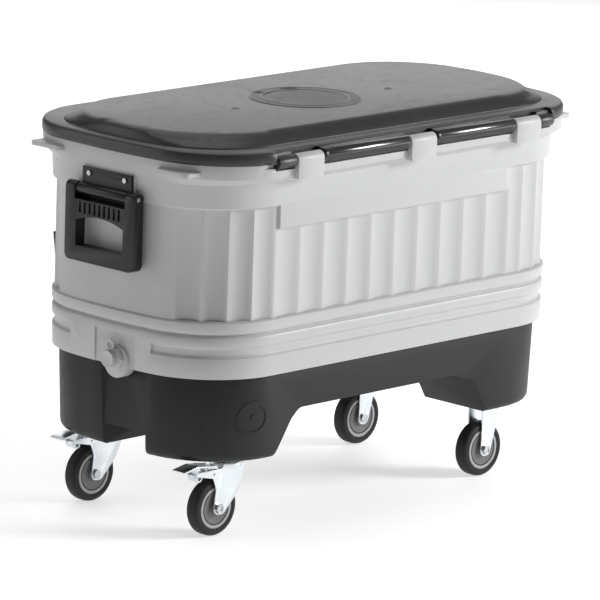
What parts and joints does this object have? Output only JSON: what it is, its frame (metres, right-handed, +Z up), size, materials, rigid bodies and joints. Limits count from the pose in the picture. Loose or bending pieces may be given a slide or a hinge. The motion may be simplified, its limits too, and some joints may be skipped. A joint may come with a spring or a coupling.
{
  "type": "wheeled cooler",
  "caption": "Large insulated cooler tub on a pedestal base with casters, a hinged domed lid, end handles, a drain and a cap catcher.",
  "frame": {"origin": "on the floor, under the centre of the tub and of the whole object's box", "axes": "+X along the length away from the drain end, +Y across towards the lid's opening side, +Z up"},
  "size_m": [1, 0.548, 0.708],
  "materials": {
    "tub_plastic": "satin off-white moulded plastic",
    "liner_plastic": "smooth white plastic",
    "base_plastic": "satin charcoal moulded plastic",
    "lid_plastic": "dark grey moulded plastic, fine texture",
    "handle_plastic": "black glossy plastic",
    "fitting_plastic": "off-white plastic",
    "seal_rubber": "black rubber",
    "foam": "rigid foam",
    "tyre_rubber": "dark rubber",
    "hub_plastic": "grey plastic",
    "zinc_steel": "bright zinc-plated pressed steel",
    "steel": "plain steel"
  },
  "bodies": {
    "tub": {"base": "base_plastic", "outer_shell": "tub_plastic", "inner_liner": "tub_plastic", "tub_foam": "foam", "tub_screws": "steel", "hinge_rod": "steel", "handle_bracket_drain_end": "handle_plastic", "handle_pin_drain_end": "steel", "handle_bracket_far_end": "handle_plastic", "handle_pin_far_end": "steel", "bracket_screws": "steel", "drain_spout": "fitting_plastic", "drain_seal": "seal_rubber", "drain_nut": "fitting_plastic", "drain_loop": "fitting_plastic", "catcher_hanger": "handle_plastic", "bottle_opener": "steel", "far_side_screws": "steel", "caster_bolts": "steel", "caster_nuts": "steel", "swivel_plate_near": "zinc_steel", "king_pin_near": "steel", "ball_ring_near": "steel", "fixed_fork_near": "zinc_steel", "fixed_axle_near": "steel", "fixed_nut_near": "steel", "swivel_plate_far": "zinc_steel", "king_pin_far": "steel", "ball_ring_far": "steel", "fixed_fork_far": "zinc_steel", "fixed_axle_far": "steel", "fixed_nut_far": "steel"},
    "lid": {"lid_shell": "lid_plastic", "lid_liner": "liner_plastic", "lid_foam": "foam"},
    "handle_drain_end": {"handle_drain_end": "handle_plastic"},
    "handle_far_end": {"handle_far_end": "handle_plastic"},
    "drain_cap": {"drain_cap": "fitting_plastic"},
    "cap_catcher": {"cap_catcher": "handle_plastic"},
    "swivel_near": {"swivel_fork_near": "zinc_steel", "swivel_axle_near": "steel", "swivel_nut_near": "steel", "pedal_pin_near": "zinc_steel"},
    "swivel_wheel_near": {"swivel_hub_near": "hub_plastic", "swivel_tyre_near": "tyre_rubber"},
    "fixed_wheel_near": {"fixed_hub_near": "hub_plastic", "fixed_tyre_near": "tyre_rubber"},
    "brake_pedal_near": {"brake_pedal_near": "zinc_steel"},
    "swivel_far": {"swivel_fork_far": "zinc_steel", "swivel_axle_far": "steel", "swivel_nut_far": "steel", "pedal_pin_far": "zinc_steel"},
    "swivel_wheel_far": {"swivel_hub_far": "hub_plastic", "swivel_tyre_far": "tyre_rubber"},
    "fixed_wheel_far": {"fixed_hub_far": "hub_plastic", "fixed_tyre_far": "tyre_rubber"},
    "brake_pedal_far": {"brake_pedal_far": "zinc_steel"}
  },
  "joints": [
    {"name": "lid_hinge", "type": "hinge", "parent": "tub", "child": "lid", "pos_m": [0, -0.262, 0.667], "axis": [1, 0, 0], "range_deg": [0, 95]},
    {"name": "handle_drain_end_swing", "type": "hinge", "parent": "tub", "child": "handle_drain_end", "pos_m": [-0.489, 0, 0.592], "axis": [0, 1, 0], "range_deg": [0, 88]},
    {"name": "handle_far_end_swing", "type": "hinge", "parent": "tub", "child": "handle_far_end", "pos_m": [0.489, 0, 0.592], "axis": [0, -1, 0], "range_deg": [0, 88]},
    {"name": "drain_cap_pull", "type": "slide", "parent": "tub", "child": "drain_cap", "axis": [-1, 0, 0], "range_m": [0, 0.05]},
    {"name": "cap_catcher_lift", "type": "slide", "parent": "tub", "child": "cap_catcher", "axis": [0, 0, 1], "range_m": [0, 0.02]},
    {"name": "swivel_near_turn", "type": "hinge", "parent": "tub", "child": "swivel_near", "pos_m": [-0.33, -0.153, 0.12], "axis": [0, 0, 1], "continuous": true},
    {"name": "swivel_wheel_near_spin", "type": "hinge", "parent": "swivel_near", "child": "swivel_wheel_near", "pos_m": [-0.363, -0.153, 0.05], "axis": [0, 1, 0], "continuous": true},
    {"name": "fixed_wheel_near_spin", "type": "hinge", "parent": "tub", "child": "fixed_wheel_near", "pos_m": [0.315, -0.153, 0.05], "axis": [0, 1, 0], "continuous": true},
    {"name": "brake_pedal_near_press", "type": "hinge", "parent": "swivel_near", "child": "brake_pedal_near", "pos_m": [-0.372, -0.153, 0.11], "axis": [0, -1, 0], "range_deg": [0, 12]},
    {"name": "swivel_far_turn", "type": "hinge", "parent": "tub", "child": "swivel_far", "pos_m": [-0.33, 0.153, 0.12], "axis": [0, 0, 1], "continuous": true},
    {"name": "swivel_wheel_far_spin", "type": "hinge", "parent": "swivel_far", "child": "swivel_wheel_far", "pos_m": [-0.363, 0.153, 0.05], "axis": [0, 1, 0], "continuous": true},
    {"name": "fixed_wheel_far_spin", "type": "hinge", "parent": "tub", "child": "fixed_wheel_far", "pos_m": [0.315, 0.153, 0.05], "axis": [0, 1, 0], "continuous": true},
    {"name": "brake_pedal_far_press", "type": "hinge", "parent": "swivel_far", "child": "brake_pedal_far", "pos_m": [-0.372, 0.153, 0.11], "axis": [0, -1, 0], "range_deg": [0, 12]}
  ]
}
